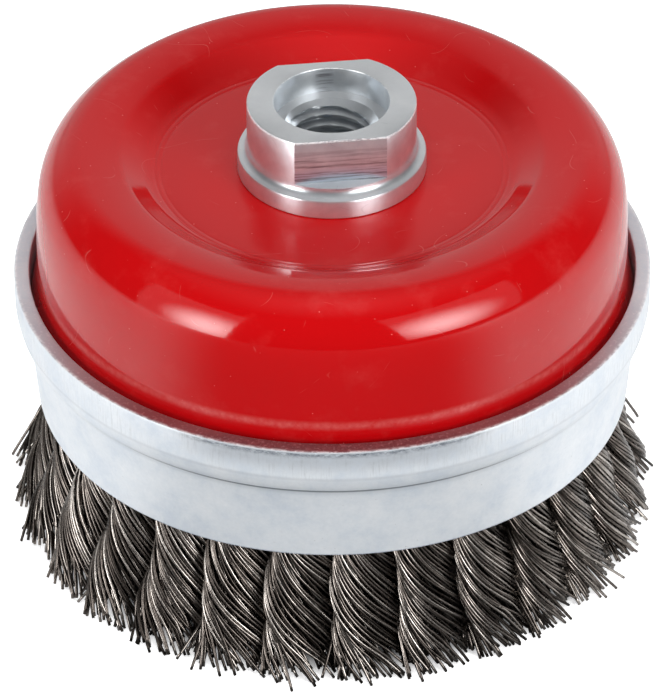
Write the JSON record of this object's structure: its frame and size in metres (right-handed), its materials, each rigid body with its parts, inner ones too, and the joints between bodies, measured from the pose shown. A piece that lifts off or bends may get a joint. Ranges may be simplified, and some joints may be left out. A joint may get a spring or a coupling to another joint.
{
  "type": "wire cup brush",
  "caption": "Twisted-knot wire cup brush with a deep pressed cup, a bridle ring and a flanged arbor nut with two wrench flats.",
  "frame": {"origin": "on the brush's axis, in the plane of the wire tips", "axes": "+Z along the axis from the wire tips to the top of the arbor nut; +Y normal to one of the nut's two wrench flats"},
  "size_m": [0.1026, 0.1026, 0.0744],
  "materials": {
    "cup_paint": "gloss red paint on pressed steel",
    "nut_zinc": "turned and milled steel, bright zinc plated",
    "ring_zinc": "rolled sheet steel, satin zinc plated",
    "plate_steel": "pressed sheet steel, plain",
    "wire_steel": "hard drawn steel wire, 0.5 mm, oiled"
  },
  "bodies": {
    "root": {"cup": "cup_paint", "arbor_nut": "nut_zinc", "bridle_ring": "ring_zinc", "knot_plate": "plate_steel", "clamp_plate": "plate_steel", "knot_01": "wire_steel", "knot_02": "wire_steel", "knot_03": "wire_steel", "knot_04": "wire_steel", "knot_05": "wire_steel", "knot_06": "wire_steel", "knot_07": "wire_steel", "knot_08": "wire_steel", "knot_09": "wire_steel", "knot_10": "wire_steel", "knot_11": "wire_steel", "knot_12": "wire_steel", "knot_13": "wire_steel", "knot_14": "wire_steel", "knot_15": "wire_steel", "knot_16": "wire_steel", "knot_17": "wire_steel", "knot_18": "wire_steel", "knot_19": "wire_steel", "knot_20": "wire_steel", "knot_21": "wire_steel", "knot_22": "wire_steel", "knot_23": "wire_steel", "knot_24": "wire_steel", "knot_25": "wire_steel", "knot_26": "wire_steel", "knot_27": "wire_steel", "knot_28": "wire_steel"}
  },
  "joints": []
}
